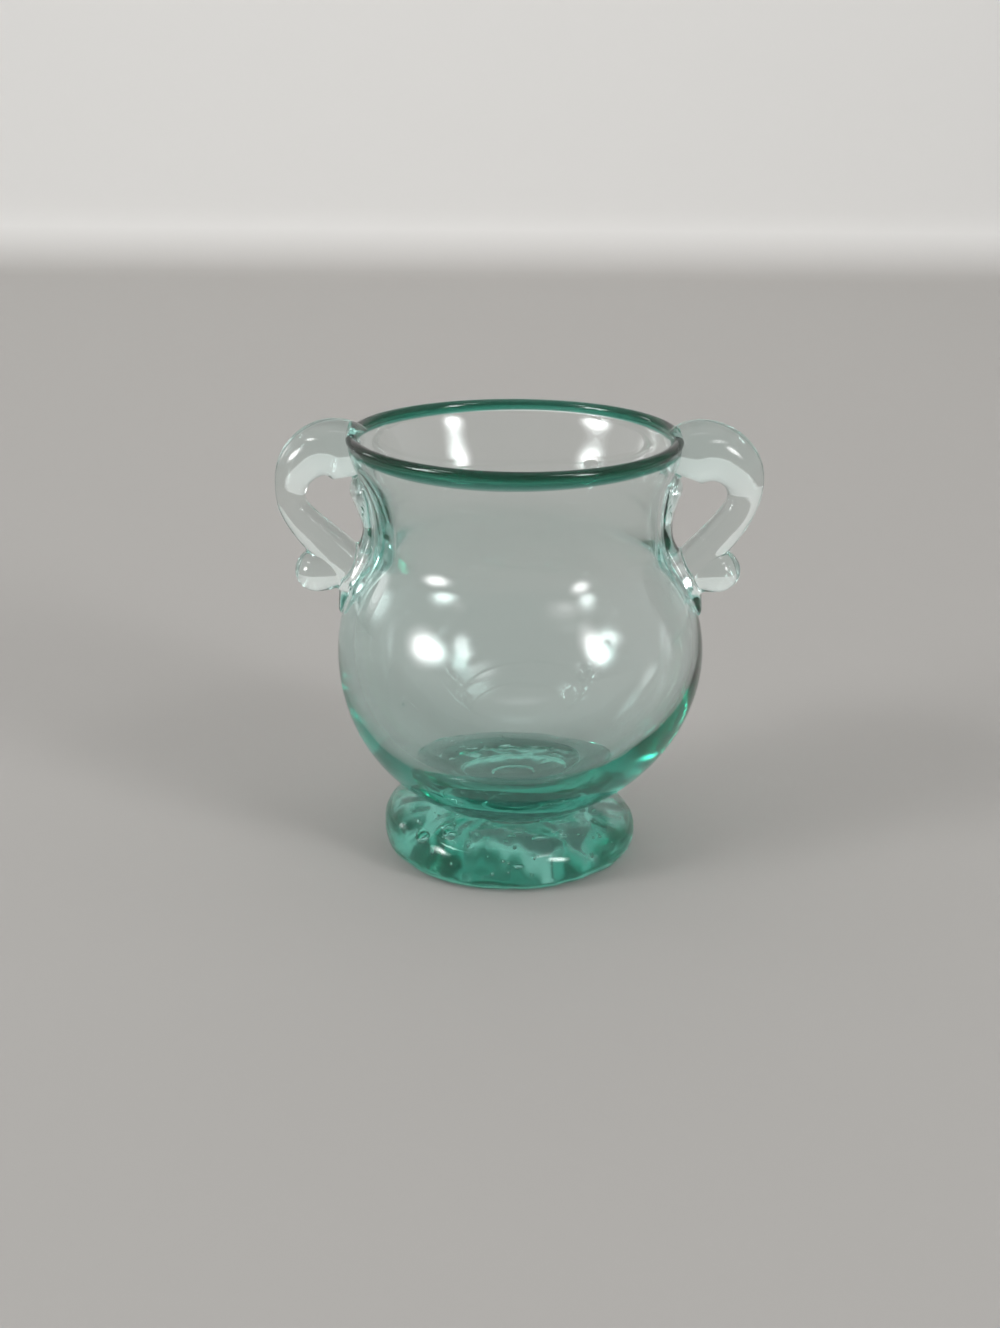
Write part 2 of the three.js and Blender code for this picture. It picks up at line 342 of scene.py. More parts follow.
def linked(name, data):
    """A new object in the scene."""
    obj = bpy.data.objects.new(name, data)
    bpy.context.scene.collection.objects.link(obj)
    return obj


def three_slots(mesh, origin):
    """Marks each face with where it comes from, in three empty material slots."""
    mesh.materials.clear()
    for _ in range(3):
        mesh.materials.append(None)
    marks = np.broadcast_to(origin, len(mesh.polygons)).astype(np.int32)
    mesh.polygons.foreach_set("material_index", marks)
    mesh.shade_smooth()


def new_object(name, verts, faces, origin=OUTSIDE):
    """A mesh object from points in millimetres, with where each face comes from."""
    mesh = bpy.data.meshes.new(name)
    mesh.from_pydata((np.asarray(verts) * MM).tolist(), [], faces)
    three_slots(mesh, origin)
    mesh.update()
    return linked(name, mesh)


def lathe_points(grid):
    """Points of a grid of columns and rings, whose first and last rings are drawn into one point."""
    ends = [grid[:, 0].mean(0)[None], grid[:, -1].mean(0)[None]]
    return np.concatenate([grid[:, 1:-1].reshape(-1, 3)] + ends)


def lathe_faces(columns, rings):
    """Faces of such a grid, and the ring that each starts from."""
    inner = rings - 2
    index = np.arange(columns * inner).reshape(columns, inner)
    bottom, top = columns * inner, columns * inner + 1
    after = np.roll(index, -1, 0)
    quads = np.stack([index[:, :-1], after[:, :-1], after[:, 1:], index[:, 1:]], -1)
    faces = [list(map(int, q)) for q in quads.reshape(-1, 4)]
    ring_of = list(np.tile(np.arange(1, inner), columns))
    for j in range(columns):
        k = (j + 1) % columns
        faces.append([int(index[k, 0]), int(index[j, 0]), bottom])
        ring_of.append(0)
        faces.append([int(index[j, -1]), int(index[k, -1]), top])
        ring_of.append(inner)
    return faces, np.array(ring_of)


def lathe(name, grid, origin_of_rings):
    """A closed turned piece. grid holds points as columns by rings by XYZ."""
    faces, ring_of = lathe_faces(*grid.shape[:2])
    return new_object(name, lathe_points(grid), faces, origin_of_rings[ring_of])


def evaluated(obj, name):
    graph = bpy.context.evaluated_depsgraph_get()
    mesh = bpy.data.meshes.new_from_object(obj.evaluated_get(graph))
    mesh.name = name
    return mesh


def settle(obj, name):
    """Takes a piece's modifiers into its mesh."""
    mesh = evaluated(obj, name)
    obj.modifiers.clear()
    obj.data = mesh


def cut(obj, tool, operation):
    """A new mesh: obj with tool taken away, or what they share."""
    change = obj.modifiers.new("cut", "BOOLEAN")
    change.operation = operation
    change.solver = "MANIFOLD"
    change.object = tool
    mesh = evaluated(obj, obj.name + "_" + operation.lower())
    obj.modifiers.remove(change)
    return mesh


def angles():
    return np.arange(COLUMNS) * 2 * math.pi / COLUMNS


def swell(theta, height, size):
    """Slow unevenness of blown glass, in millimetres."""
    z = np.asarray(height)
    return size * sum(weight * np.sin(turns * theta + phase + z / length)
                      for turns, length, phase, weight in SWELL_WAVES)


def foot_over():
    """The foot's upper side, drawn outwards to inwards and up the post, as radius and height."""
    over = bezier([(FOOT_RADIUS, FOOT_EDGE_HEIGHT), (FOOT_RADIUS, COLLAR_HEIGHT - SHOULDER_DROP),
                   ((COLLAR_RADIUS + FOOT_RADIUS) / 2, COLLAR_HEIGHT - SHOULDER_DROP),
                   (COLLAR_RADIUS, COLLAR_HEIGHT)], OVER_STEPS)
    post = bezier([(COLLAR_RADIUS, COLLAR_HEIGHT), (COLLAR_RADIUS, COLLAR_HEIGHT + POST_HEIGHT)],
                  POST_STEPS)
    return np.concatenate([over, post[1:]])


def foot_under():
    """The foot's underside, from the pontil scar over the standing ring to its edge."""
    scar = arc((0, UNDER_RECESS), PONTIL_RADIUS, PONTIL_DEPTH, math.pi / 2, 0, SCAR_RINGS)
    recess = bezier([(PONTIL_RADIUS, UNDER_RECESS), (REST_INNER - UNDER_RECESS, UNDER_RECESS),
                     (REST_INNER, 0)], RECESS_RINGS)
    ring = bezier([(REST_INNER, 0), (REST_OUTER, 0)], REST_RINGS)
    edge = bezier([(REST_OUTER, 0), ((REST_OUTER + FOOT_RADIUS) / 2, 0),
                   (FOOT_RADIUS, FOOT_EDGE_HEIGHT / 3), (FOOT_RADIUS, FOOT_EDGE_HEIGHT)],
                  LOWER_EDGE_RINGS)
    return np.concatenate([scar, recess[1:], ring[1:], edge[1:]])


def placed_foot(outline, theta):
    """Points of a foot column in space, with the drift and the wedge."""
    r, z = outline[:, 0], outline[:, 1]
    x = r * math.cos(theta) + drift(z)
    y = r * math.sin(theta)
    return np.stack([x, y, z * (1 - FOOT_WEDGE * x / FOOT_RADIUS)], 1)


def on_skin(theta, t, inset):
    """A point under the bowl's skin, for a column angle and an angle from its widest level."""
    r = (BOWL_RADIUS - inset) * np.cos(t)
    z = BOWL_CENTRE + (BOWL_HALF_HEIGHT - inset) * np.sin(t)
    return np.stack([r * np.cos(theta) + drift(z), r * np.sin(theta), z], -1)


def seam():
    """Where the foot's upper side meets the bowl: for each foot column the share of the outline,
    the bowl's column angle and the bowl's own angle."""
    outline = foot_over()
    found = []
    for theta in angles():
        p = placed_foot(outline, theta)
        out = np.hypot(p[:, 0] - drift(p[:, 2]), p[:, 1])
        level = np.hypot(out / BOWL_RADIUS, (p[:, 2] - BOWL_CENTRE) / BOWL_HALF_HEIGHT)
        i = int(np.argmax(level < 1))
        w = (level[i - 1] - 1) / (level[i - 1] - level[i])
        q = p[i - 1] + (p[i] - p[i - 1]) * w
        column = math.atan2(q[1], q[0] - float(drift(q[2])))
        t = math.asin((q[2] - BOWL_CENTRE) / BOWL_HALF_HEIGHT)
        found.append((i - 1 + w, column, t))
    return np.array(found)


def cavity_outline():
    """The hollow's wall, from the bead down to the middle of its floor."""
    centre = BOWL_CENTRE + CAVITY_RISE
    half = centre - CAVITY_FLOOR
    radius = BOWL_RADIUS - BOWL_WALL
    bowl = arc((0, centre), radius, half, -math.pi / 2, SHOULDER_ANGLE, CAVITY_RINGS)
    neck = neck_outline(centre, radius, half, NECK_RADIUS - NECK_WALL, bead_outline()[-1])
    return np.concatenate([bowl, neck])[::-1]


def body_column(theta, outline, hollow):
    """Points of one column of the body, with the wall's unevenness and drift and the rim's waves."""
    r, z = outline[:, 0], outline[:, 1]
    calm = (np.clip((z - SKIN_SWELL_START) / SKIN_SWELL_RISE, 0, 1)
            * np.clip((SKIN_SWELL_END - z) / SKIN_SWELL_FALL, 0, 1))
    inner = swell(theta, z, CAVITY_SWELL) * np.clip(r / CAVITY_CALM_RADIUS, 0, 1)
    outer = swell(theta + SKIN_SWELL_TURN, z, SKIN_SWELL) * calm
    r = r + np.where(hollow, inner, outer)
    level = np.clip((z - CAVITY_FLOOR) / (RIM_HEIGHT - CAVITY_FLOOR), 0, 1)
    lean = np.where(hollow, CAVITY_DRIFT * np.sin(math.pi * level), 0)
    lift = (RIM_WAVE * math.sin(2 * theta + RIM_WAVE_PHASE)
            * np.clip((z - RIM_WAVE_START) / RIM_WAVE_RISE, 0, 1))
    return np.stack([r * math.cos(theta) + drift(z) + lean, r * math.sin(theta), z + lift], 1)


def body_grid(joint):
    """The body's points, from the bottom over the rim into the hollow."""
    around = joint[:, 1] % (2 * math.pi)
    order = np.argsort(around)
    seam_t = np.interp(angles(), around[order], joint[order, 2], period=2 * math.pi)
    neck, bead, cavity = outer_neck(), bead_outline(), cavity_outline()
    columns = []
    for theta, t_seam in zip(angles(), seam_t):
        t = np.concatenate([np.linspace(-math.pi / 2, t_seam, CUP_RINGS + 1),
                            np.linspace(t_seam, SHOULDER_ANGLE, BOWL_RINGS + 1)[1:]])
        bowl = np.stack([BOWL_RADIUS * np.cos(t), BOWL_CENTRE + BOWL_HALF_HEIGHT * np.sin(t)], 1)
        outline = np.concatenate([bowl, neck, bead[1:-1], cavity])
        hollow = np.arange(len(outline)) > len(outline) - len(cavity)
        columns.append(body_column(theta, outline, hollow))
    return np.array(columns)


def foot_grid(joint):
    """The foot's points, from the pontil scar over the edge to the joint and in under the bowl."""
    over, under = foot_over(), foot_under()
    columns = []
    for (share, column, t_seam), theta in zip(joint, angles()):
        steps = np.linspace(0, share, EDGE_RINGS + 1)
        upper = np.stack([np.interp(steps, np.arange(len(over)), over[:, i]) for i in (0, 1)], 1)
        skin = placed_foot(np.concatenate([under, upper[1:]]), theta)
        t = np.linspace(t_seam, -math.pi / 2, CUP_RINGS + 1)[1:]
        columns.append(np.concatenate([skin, on_skin(column, t, FOOT_OVERLAP)]))
    return np.array(columns)


def tool_marks(x, y, z):
    """The broad, ridged and fine tool marks at a point of the foot, each about -1 to 1."""
    r, a = math.hypot(x - FOOT_DRIFT, y), math.atan2(y, x)
    broad_shift, ridge_shift, fine_shift = MARK_SHIFTS
    broad = (x / BROAD_MARK, y / BROAD_MARK, broad_shift + z / BROAD_MARK_HEIGHT)
    ridge = (math.cos(a) * RIDGES, math.sin(a) * RIDGES, r / RIDGES + ridge_shift)
    fine = (x / FINE_MARK, y / FINE_MARK, z / FINE_MARK + fine_shift)
    return [noise.noise(Vector(place)) for place in (broad, ridge, fine)]


def mixed(parts, marks):
    return sum(part * mark for part, mark in zip(parts, marks))


def uneven_foot(grid):
    """Tool marks and chill wrinkles on the underside and edge of the pressed foot."""
    rings = grid.shape[1] - CUP_RINGS
    for column in grid:
        for k in range(rings):
            x, y, z = column[k]
            marks = tool_marks(x, y, z)
            if z < UNDER_TOP:
                lift = mixed(UNDER_MARKS, marks) + UNDER_LIFT
                low = 1 - min(z / MARKS_END, 1.0)
                column[k, 2] += (lift + math.hypot(lift, UNDER_ROUNDING)) / 2 * low
            else:
                seat = min(max((rings - 1 - k) / MARKS_FADE_RINGS, 0), 1)
                push = mixed(EDGE_MARKS, marks) * seat
                a = math.atan2(y, x)
                column[k] += push * np.array([math.cos(a), math.sin(a), EDGE_MARK_RISE])
    return grid


def bent_rod(path, radii, spread=1.0, steps=150, sides=56):
    """A round rod with rounded ends along a path in the XZ plane, as points and faces."""
    run = np.concatenate([[0], np.cumsum(np.hypot(*np.diff(path, axis=0).T))])
    length = run[-1]
    at = length * (1 - np.cos(np.pi * np.arange(steps + 1) / steps)) / 2
    radius = spline(radii, at / length)
    end = np.minimum(np.minimum(at, length - at), radius) / radius
    off = radius * np.sqrt(np.maximum(0, 1 - (1 - end) ** 2))
    centre = np.stack([np.interp(at, run, path[:, i]) for i in (0, 1)], 1)
    slope = np.gradient(path, run, axis=0)
    along = np.stack([np.interp(at, run, slope[:, i]) for i in (0, 1)], 1)
    along /= np.hypot(along[:, 0], along[:, 1])[:, None]
    turn = np.arange(sides) * 2 * math.pi / sides
    u, v = np.cos(turn)[:, None] * off, np.sin(turn)[:, None] * off
    grid = np.stack([centre[:, 0] - along[:, 1] * u, v * spread, centre[:, 1] + along[:, 0] * u], -1)
    return lathe_points(grid), lathe_faces(sides, steps + 1)[0]


def seat(height, side, out=0.0):
    """A point of the body's skin at a handle, as distance from the axis and height."""
    return np.array([skin_radius(height) + side * float(drift(height)) + out, height])


def loop_path(size, shoulder):
    """The loop, from the rim over the crest and down the arm to the shoulder."""
    arm = math.radians(size["arm_angle"])
    inwards = np.array([-math.cos(arm), -math.sin(arm)])
    crest = (RIM_RADIUS + size["crest_out"], RIM_HEIGHT - size["crest_drop"])
    outer = (BOWL_RADIUS + HANDLE_OVERHANG - size["side_inset"], RIM_HEIGHT - size["side_drop"])
    arch = arc((crest[0], outer[1]), outer[0] - crest[0], crest[1] - outer[1],
               math.radians(size["arch_start"]), 0, PATH_STEPS)
    arm_line = bezier([outer, (outer[0], outer[1] - size["elbow_drop"]),
                       shoulder - inwards * size["arm_reach"],
                       shoulder + inwards * size["shoulder_sink"]], PATH_STEPS)
    return np.concatenate([arch, arm_line[1:]])


def tail_path(size, shoulder):
    """The tail, folded back outwards from the shoulder."""
    root = np.array([shoulder[0] - size["shoulder_sink"], shoulder[1] - size["tail_drop"]])
    tip = np.array([shoulder[0] + size["tail_out"], root[1] + size["tail_lift"]])
    return bezier([root, ((root[0] + tip[0]) / 2, root[1]), tip], TAIL_STEPS)


def pad_path(size, side):
    """The pad, down the skin of neck and shoulder."""
    radii = size["pad_radii"]
    top, foot = RIM_HEIGHT - size["pad_top_drop"], BOWL_CENTRE + size["pad_foot_rise"]
    heights = np.linspace(top, foot, len(radii))
    knots = np.array([seat(h, side, -r * PAD_SINK) for h, r in zip(heights, radii)])
    share = np.linspace(0, 1, PATH_STEPS)
    return np.stack([spline(knots[:, 0], share), spline(knots[:, 1], share)], 1)


def handle_rods(size, side):
    """The three rods of one handle: the loop, the folded tail and the pad."""
    shoulder = seat(BOWL_CENTRE + size["shoulder_rise"], side)
    return [bent_rod(loop_path(size, shoulder), size["rod_radii"]),
            bent_rod(tail_path(size, shoulder), size["tail_radii"]),
            bent_rod(pad_path(size, side), size["pad_radii"], PAD_SPREAD)]


def raw_handle(name, size, side):
    """One handle before it meets the body, its rods run together as soft glass does."""
    verts, faces, count = [], [], 0
    for rod_verts, rod_faces in handle_rods(size, side):
        verts.append(rod_verts)
        faces += [[i + count for i in face] for face in rod_faces]
        count += len(rod_verts)
    verts = np.concatenate(verts)
    verts[:, :2] *= side
    obj = new_object(name, verts, faces)
    melt = obj.modifiers.new("melt", "REMESH")
    melt.mode = "VOXEL"
    melt.voxel_size = MELT_VOXEL * MM
    soften = obj.modifiers.new("soften", "SMOOTH")
    soften.factor = SOFTEN_FACTOR
    soften.iterations = SOFTEN_STEPS
    settle(obj, name + "_melted")
    three_slots(obj.data, FROM_HANDLE)
    return obj


def filled_body(grid):
    """The body's outer skin as a closed solid, a little larger, that the handles are seated on."""
    rings = CUP_RINGS + BOWL_RINGS + 2 * NECK_RINGS + BEAD_RINGS // 2 + 1
    skin = grid[:, :rings].copy()
    lid = skin[:, -1:].copy()
    lid[..., :2] = lid[..., :2].mean(0)
    obj = lathe("seat", np.concatenate([skin, lid], 1), np.zeros(rings + 1, int))
    film = obj.modifiers.new("film", "DISPLACE")
    film.strength = HANDLE_FILM * MM
    film.mid_level = 0
    settle(obj, "seat_skin")
    return obj


def joined(name, objects):
    """One mesh object with the faces of several."""
    work = bmesh.new()
    for obj in objects:
        work.from_mesh(obj.data)
    mesh = bpy.data.meshes.new(name)
    work.to_mesh(mesh)
    work.free()
    three_slots(mesh, FROM_HANDLE)
    return linked(name, mesh)


def origins(mesh):
    index = np.zeros(len(mesh.polygons), np.int32)
    mesh.polygons.foreach_get("material_index", index)
    return index


def with_joint(mesh, fused):
    """Writes which faces are a fused joint, where light goes on straight from glass to glass, and
    keeps their shading apart from the outside."""
    layer = mesh.attributes.new("fused", "FLOAT", "FACE")
    layer.data.foreach_set("value", np.asarray(fused, np.float32))
    work = bmesh.new()
    work.from_mesh(mesh)
    value = work.faces.layers.float["fused"]
    for face in work.faces:
        face.material_index = 0
        face.smooth = face[value] == 0
    for edge in work.edges:
        edge.smooth = len({face[value] for face in edge.link_faces}) < 2
    work.to_mesh(mesh)
    work.free()
    return mesh


def with_bubbles(mesh, bubbles):
    """Adds bubbles inside the glass, each a centre, its half sizes in millimetres and a turn."""
    work = bmesh.new()
    work.from_mesh(mesh)
    for centre, half, turn in bubbles:
        place = Matrix.Translation(Vector(centre) * MM) @ Matrix.Rotation(turn, 4, "Z")
        shape = place @ Matrix.Diagonal((half[0] * MM, half[1] * MM, half[2] * MM, 1))
        made = bmesh.ops.create_icosphere(work, subdivisions=2, radius=1, matrix=shape)
        faces = list({face for vert in made["verts"] for face in vert.link_faces})
        bmesh.ops.reverse_faces(work, faces=faces)
        for face in faces:
            face.smooth = True
    work.to_mesh(mesh)
    work.free()
    return mesh


def foot_bubbles():
    """Fine bubbles and a few flat blisters through the foot, clear of its skin."""
    chance = np.random.default_rng(FOOT_BUBBLE_SEED)
    bubbles = []
    for kind in FOOT_BUBBLES:
        for _ in range(kind["count"]):
            a = chance.uniform(0, 2 * math.pi)
            r, z, size = [chance.uniform(*kind[key]) for key in ("radius", "height", "size")]
            centre = (r * math.cos(a) + FOOT_DRIFT, r * math.sin(a), z)
            bubbles.append((centre, [size * part for part in kind["shape"]], a))
    return bubbles


def body_bubbles():
    """The bubbles in the thick bottom and the wall."""
    chance = np.random.default_rng(WALL_BUBBLE_SEED)
    kind = WALL_BUBBLES
    bubbles = list(BOTTOM_BUBBLES)
    for _ in range(kind["count"]):
        a = chance.uniform(0, 2 * math.pi)
        t, size = [chance.uniform(*kind[key]) for key in ("level", "size")]
        centre = tuple(on_skin(a, t, WALL_BUBBLE_DEPTH))
        bubbles.append((centre, [size * part for part in kind["shape"]], a))
    return bubbles


def imprinted(body, tools):
    """The body's mesh with its faces cut along the edge of each handle, and those under a handle
    marked as a fused joint. The wall and the hollow stay whole."""
    work = bmesh.new()
    for operation in ("DIFFERENCE", "INTERSECT"):
        before = len(work.faces)
        work.from_mesh(cut(body, tools, operation))
        work.faces.ensure_lookup_table()
        for face in work.faces[before:]:
            centre = face.calc_center_median()
            outwards = face.normal.x * (centre.x - BOWL_DRIFT * MM) + face.normal.y * centre.y > 0
            if face.material_index == OUTSIDE and operation == "INTERSECT" and outwards:
                face.material_index = UNDER_FOOT
    spare = [face for face in work.faces if face.material_index == FROM_HANDLE]
    bmesh.ops.delete(work, geom=spare, context="FACES")
    bmesh.ops.remove_doubles(work, verts=work.verts, dist=WELD)
    mesh = bpy.data.meshes.new("vessel_body_glass")
    work.to_mesh(mesh)
    work.free()
    return mesh


def rim_wall(grid):
    """The wall's points round the bead and some way down on both sides, further at the front."""
    start = CUP_RINGS + BOWL_RINGS + 2 * NECK_RINGS
    wall = grid[:, start - RIM_REACH:start + BEAD_RINGS + 1 + RIM_REACH].copy()
    sides = wall.shape[1]
    theta = angles()[:, None, None]
    share = (RIM_REACH_MIDDLE - RIM_REACH_SWING * np.sin(theta)
             + RIM_REACH_WANDER * np.sin(3 * theta + 1))
    for end, base in ((slice(0, RIM_REACH), RIM_REACH),
                      (slice(sides - RIM_REACH, sides), sides - RIM_REACH - 1)):
        root = wall[:, base:base + 1]
        wall[:, end] = root + (wall[:, end] - root) * share
    return wall


def rim_core(grid):
    """The deeper green along the rim, where the glass was reheated: a ring inside the bead that
    thins out down the wall."""
    wall = rim_wall(grid)
    sides = wall.shape[1]
    theta = angles()[:, None, None]
    full = (RIM_CORE_SHARE - RIM_CORE_SWING * np.sin(theta + RIM_CORE_TURN)
            + RIM_CORE_WANDER * np.sin(4 * theta))
    beyond = np.maximum(RIM_REACH - np.arange(sides), np.arange(sides) - (sides - 1 - RIM_REACH))
    thin = (np.clip(beyond, 0, RIM_REACH) / RIM_REACH) ** RIM_CORE_TAPER
    inset = (1 - full) / 2 + (full / 2 - RIM_CORE_EDGE) * thin[None, :, None]
    core = wall + (wall[:, ::-1] - wall) * inset
    bead = slice(RIM_REACH, sides - RIM_REACH)
    middle = wall[:, bead].mean(1, keepdims=True)
    core[:, bead] = middle + (wall[:, bead] - middle) * full
    return new_object("rim_core_glass", core.reshape(-1, 3), ring_faces(sides))


def ring_faces(sides):
    """Faces of a closed ring of columns with so many sides."""
    index = np.arange(COLUMNS * sides).reshape(COLUMNS, sides)
    after, along = np.roll(index, -1, 0), np.roll(index, -1, 1)
    both = np.roll(after, -1, 1)
    return np.stack([index, after, both, along], -1).reshape(-1, 4).tolist()


def turned_pieces(joint, grid):
    """The body and the foot, with the faces marked where they are fused together."""
    rings = np.arange(grid.shape[1])
    body = lathe("vessel_body_glass", grid, np.where(rings < CUP_RINGS, UNDER_FOOT, OUTSIDE))
    points = uneven_foot(foot_grid(joint))
    rings = np.arange(points.shape[1])
    cup = rings >= len(rings) - 1 - CUP_RINGS
    foot = lathe("foot_glass", points, np.where(cup, UNDER_FOOT, OUTSIDE))
    return body, foot


def build_vase():
    joint = seam()
    grid = body_grid(joint)
    body, foot = turned_pieces(joint, grid)
    handles = [raw_handle("handle_left_glass", HANDLES["left"], -1),
               raw_handle("handle_right_glass", HANDLES["right"], 1)]
    tools = joined("handle_outlines", handles)
    skin = filled_body(grid)
    mesh = imprinted(body, tools)
    body.data = with_bubbles(with_joint(mesh, origins(mesh) == UNDER_FOOT), body_bubbles())
    with_bubbles(with_joint(foot.data, origins(foot.data) == UNDER_FOOT), foot_bubbles())
    for handle in handles:
        mesh = cut(handle, skin, "DIFFERENCE")
        handle.data = with_joint(mesh, origins(mesh) != FROM_HANDLE)
    for spare in (tools, skin):
        bpy.data.objects.remove(spare)
    return body, foot, handles, rim_core(grid)


class Tree:
    """A material's nodes, built by name."""

    def __init__(self, name):
        self.material = bpy.data.materials.new(name)
        self.material.use_nodes = True
        self.nodes = self.material.node_tree.nodes
        self.links = self.material.node_tree.links
        self.nodes.clear()

    def add(self, kind, settings=None, **inputs):
        node = self.nodes.new(kind)
        for key, value in (settings or {}).items():
            setattr(node, key, value)
        for key, value in inputs.items():
            self.feed(node.inputs[key.replace("_", " ")], value)
        return node

    def feed(self, socket, value):
        if isinstance(value, bpy.types.NodeSocket):
            self.links.new(value, socket)
        else:
            socket.default_value = value

    def place(self):
        """The point in the object's own space."""
        return self.add("ShaderNodeTexCoord").outputs["Object"]

    def height(self):
        """Its height in metres."""
        return self.add("ShaderNodeSeparateXYZ", Vector=self.place()).outputs["Z"]

    def noise(self, scale, detail, stretch=(1, 1, 1)):
        """Noise of so many waves per metre."""
        moved = self.add("ShaderNodeMapping", Vector=self.place(), Scale=stretch).outputs[0]
        return self.add("ShaderNodeTexNoise", Vector=moved, Scale=scale, Detail=detail).outputs[0]

    def ramp(self, value, low, high, to_low, to_high):
        node = self.add("ShaderNodeMapRange", Value=value, From_Min=low, From_Max=high,
                        To_Min=to_low, To_Max=to_high)
        return node.outputs[0]

    def output(self, surface, **volume):
        self.add("ShaderNodeOutputMaterial", Surface=surface, **volume)
        return self.material


def tint(tree, soaked):
    """A volume that takes up so much red, green and blue per metre."""
    density = max(soaked) * TINT_HEADROOM
    colour = [1 - s / density for s in soaked] + [1]
    return tree.add("ShaderNodeVolumeAbsorption", Color=colour, Density=density).outputs[0]


def joint_ior(tree):
    """What bends the light. Across the foot's fused joint it goes on straight, as inside one piece.
    At the handles a faint seam shows."""
    fused = tree.add("ShaderNodeAttribute", dict(attribute_name="fused")).outputs["Fac"]
    level = BOWL_CENTRE * MM
    at_joint = tree.ramp(tree.height(), level - MM, level, 1.0, HANDLE_SEAM_IOR)
    outside = tree.ramp(fused, 0, 1, 1.0, 0.0)
    return tree.ramp(fused, 0, 1, GLASS_IOR, at_joint), outside


def glass(name, soaked, waves, wave_height, haze, ground=0.0):
    """Clear glass with a tint that grows with its depth, slow cords, smears and a little tone."""
    tree = Tree(name)
    ior, outside = joint_ior(tree)
    smear = tree.ramp(tree.noise(SMEAR_WAVES, 4, SMEAR_STRETCH), *SMEAR_SHARE, 0.0, haze)
    low, high = GROUND_HEIGHTS
    worn = tree.ramp(tree.height(), low * MM, high * MM, ground, 0.0)
    rough = tree.add("ShaderNodeMath", dict(operation="ADD"), Value=smear)
    tree.feed(rough.inputs[1], worn)
    bump = tree.add("ShaderNodeBump", Height=tree.noise(waves, 3, CORD_STRETCH), Strength=outside,
                    Distance=wave_height * MM)
    tone = tree.add("ShaderNodeValToRGB", Fac=tree.noise(TONE_WAVES, 2))
    for element, colour in zip(tone.color_ramp.elements, TONES):
        element.color = colour
    surface = tree.add("ShaderNodeBsdfPrincipled", Base_Color=tone.outputs[0], IOR=ior,
                       Roughness=rough.outputs[0], Transmission_Weight=1.0, Normal=bump.outputs[0])
    return tree.output(surface.outputs[0], Volume=tint(tree, soaked))


def inner_glass(name, soaked):
    """A deeper tint inside clear glass, with no surface of its own."""
    tree = Tree(name)
    surface = tree.add("ShaderNodeBsdfPrincipled", IOR=1.0, Roughness=0.0, Transmission_Weight=1.0)
    return tree.output(surface.outputs[0], Volume=tint(tree, soaked))


def stage_material():
    """Matt, in the table's colour low down and in the wall's colour above."""
    tree = Tree("pale_stage")
    colour = tree.add("ShaderNodeMix", dict(data_type="RGBA"))
    tree.feed(colour.inputs["Factor"], tree.ramp(tree.height(), *COLOUR_TURN, 0, 1))
    first, second = [socket for socket in colour.inputs if socket.type == "RGBA"]
    first.default_value = (*TABLE_COLOUR, 1)
    second.default_value = (*WALL_COLOUR, 1)
    mixed_colour = next(socket for socket in colour.outputs if socket.type == "RGBA")
    surface = tree.add("ShaderNodeBsdfPrincipled", Base_Color=mixed_colour,
                       Roughness=STAGE_ROUGHNESS)
    return tree.output(surface.outputs[0])


def build_stage():
    """A pale table whose far edge meets a paler wall, in one sheet with a small round between."""
    flat = WALL_BACK - STAGE_ROUND
    line = [(TABLE_FRONT, 0.0), (flat, 0.0)]
    for a in np.linspace(0, math.pi / 2, STAGE_ROUND_STEPS)[1:]:
        line.append((flat + STAGE_ROUND * math.sin(a), STAGE_ROUND - STAGE_ROUND * math.cos(a)))
    line.append((WALL_BACK, WALL_TOP))
    verts = [(x, y, z) for x in (-STAGE_HALF_WIDTH, STAGE_HALF_WIDTH) for y, z in line]
    n = len(line)
    mesh = bpy.data.meshes.new("stage")
    mesh.from_pydata(verts, [], [(i, i + n, i + n + 1, i + 1) for i in range(n - 1)])
    mesh.update()
    mesh.shade_smooth()
    obj = linked("stage", mesh)
    mesh.materials.append(stage_material())


def softbox(name, azimuth, elevation, distance, width, height, radiance,
            aim=LAMP_AIM, grid=LAMP_GRID):
    """A soft-edged lamp that faces a point. Its grid keeps the light within an angle of its axis,
    off the table beside it."""
    a, e, grid = math.radians(azimuth), math.radians(elevation), math.radians(grid)
    out = Vector((math.sin(a) * math.cos(e), -math.cos(a) * math.cos(e), math.sin(e)))
    turn = out.to_track_quat("Z", "Y").to_matrix().to_4x4()
    gathered = math.tan(grid) / (math.tan(grid) - grid)
    for layer, (share, part) in enumerate(LAMP_DISCS):
        lamp = bpy.data.lights.new(name, "AREA")
        lamp.shape = "ELLIPSE"
        lamp.size, lamp.size_y = width * share, height * share
        lamp.spread = 2 * grid
        face = math.pi / 4 * lamp.size * lamp.size_y
        lamp.energy = radiance * part * math.pi * face / gathered
        place = Vector(aim) + out * (distance + layer * LAMP_DISC_STEP)
        linked(f"{name}_{layer}", lamp).matrix_world = Matrix.Translation(place) @ turn


def build_lamps():
    for name, lamp in LAMPS.items():
        softbox(name, *lamp)
    softbox("wall_light", *WALL_LAMP, WALL_LAMP_AIM, WALL_LAMP_GRID)


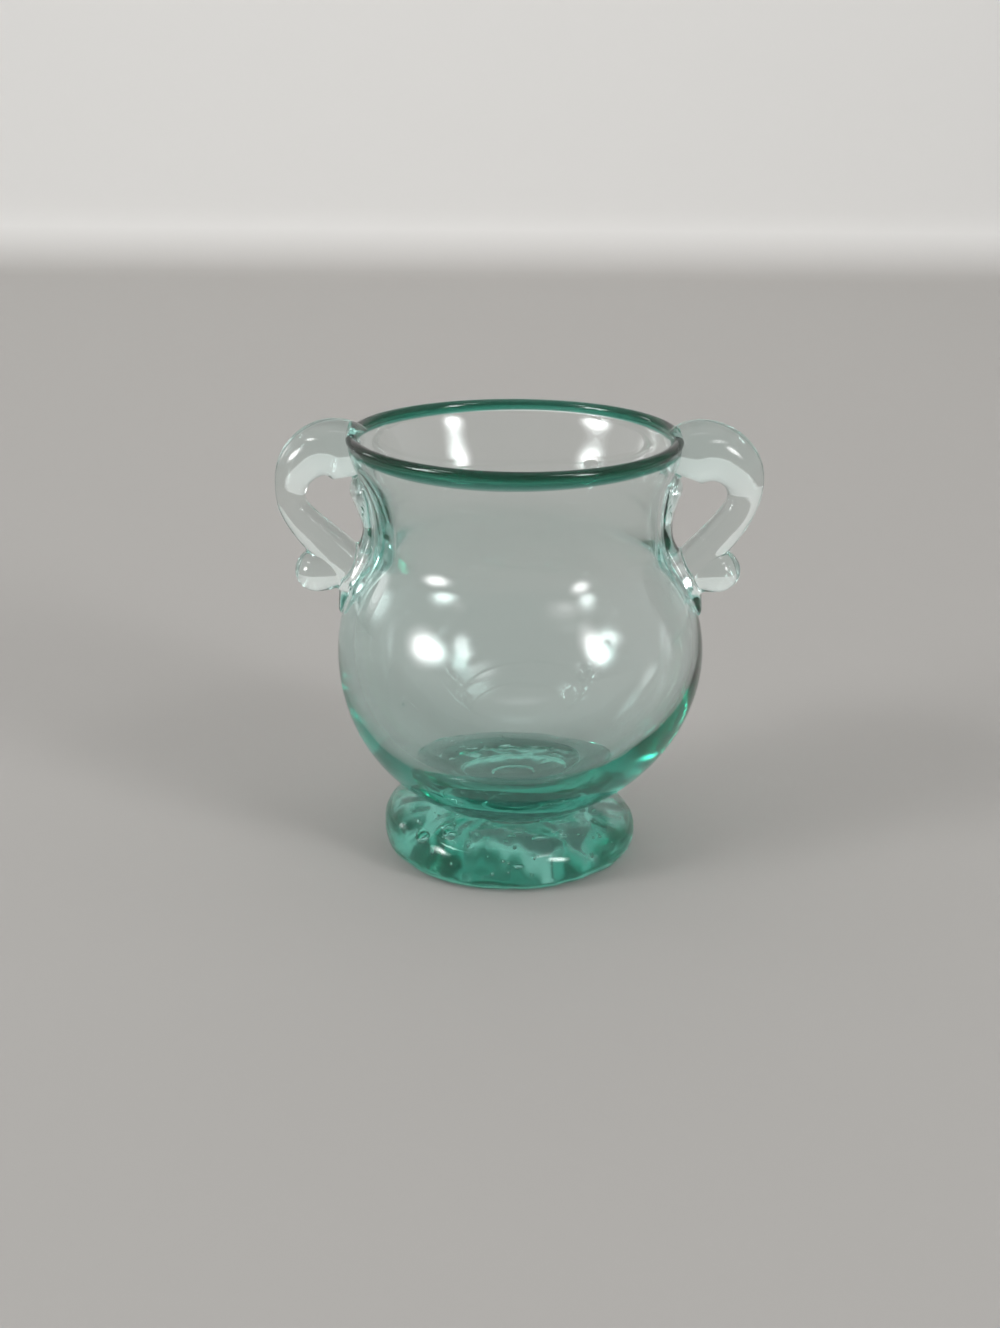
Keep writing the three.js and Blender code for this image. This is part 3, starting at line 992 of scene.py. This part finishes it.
def build_world():
    """Even light all round, dimmer on the camera's side."""
    world = bpy.data.worlds.new("room")
    bpy.context.scene.world = world
    world.use_nodes = True
    nodes, links = world.node_tree.nodes, world.node_tree.links
    place = nodes.new("ShaderNodeTexCoord")
    axes = nodes.new("ShaderNodeSeparateXYZ")
    links.new(place.outputs["Generated"], axes.inputs[0])
    ramp = nodes.new("ShaderNodeMapRange")
    links.new(axes.outputs["Y"], ramp.inputs["Value"])
    for key, value in WORLD_RAMP.items():
        ramp.inputs[key].default_value = value
    links.new(ramp.outputs[0], nodes["Background"].inputs["Strength"])
    nodes["Background"].inputs["Color"].default_value = WORLD_COLOUR


def build_camera():
    lens = bpy.data.cameras.new("camera")
    lens.lens = CAMERA_LENS
    lens.clip_start = CAMERA_NEAR
    tilt = Matrix.Rotation(math.radians(90 - CAMERA_DOWN), 4, "X")
    roll = Matrix.Rotation(math.radians(CAMERA_ROLL), 4, "Z")
    obj = linked("camera", lens)
    obj.matrix_world = Matrix.Translation(Vector(CAMERA_PLACE) * MM) @ tilt @ roll
    bpy.context.scene.camera = obj


def set_look():
    scene = bpy.context.scene
    scene.view_settings.view_transform = "Standard"
    scene.cycles.max_bounces = GLASS_BOUNCES
    scene.cycles.transmission_bounces = GLASS_BOUNCES
    scene.cycles.glossy_bounces = GLASS_BOUNCES
    scene.cycles.transparent_max_bounces = CLEAR_BOUNCES


def cover(obj, material):
    obj.data.materials.clear()
    obj.data.materials.append(material)
    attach(obj, "root")


def dress(body, foot, handles, rim):
    """Each piece takes its glass, and stands for its solid."""
    made = {name: glass(name, **look) for name, look in GLASSES.items()}
    rows = ((body, "body_glass", "vessel_body"), (foot, "foot_glass", "foot"),
            (handles[0], "handle_glass", "handle_left"), (handles[1], "handle_glass", "handle_right"))
    for piece, slot, node in rows:
        cover(piece, made[slot])
        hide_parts(node)
    cover(rim, inner_glass("rim_glass", RIM_SOAKED))


def main():
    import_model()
    set_look()
    build_camera()
    build_world()
    build_stage()
    build_lamps()
    dress(*build_vase())


main()
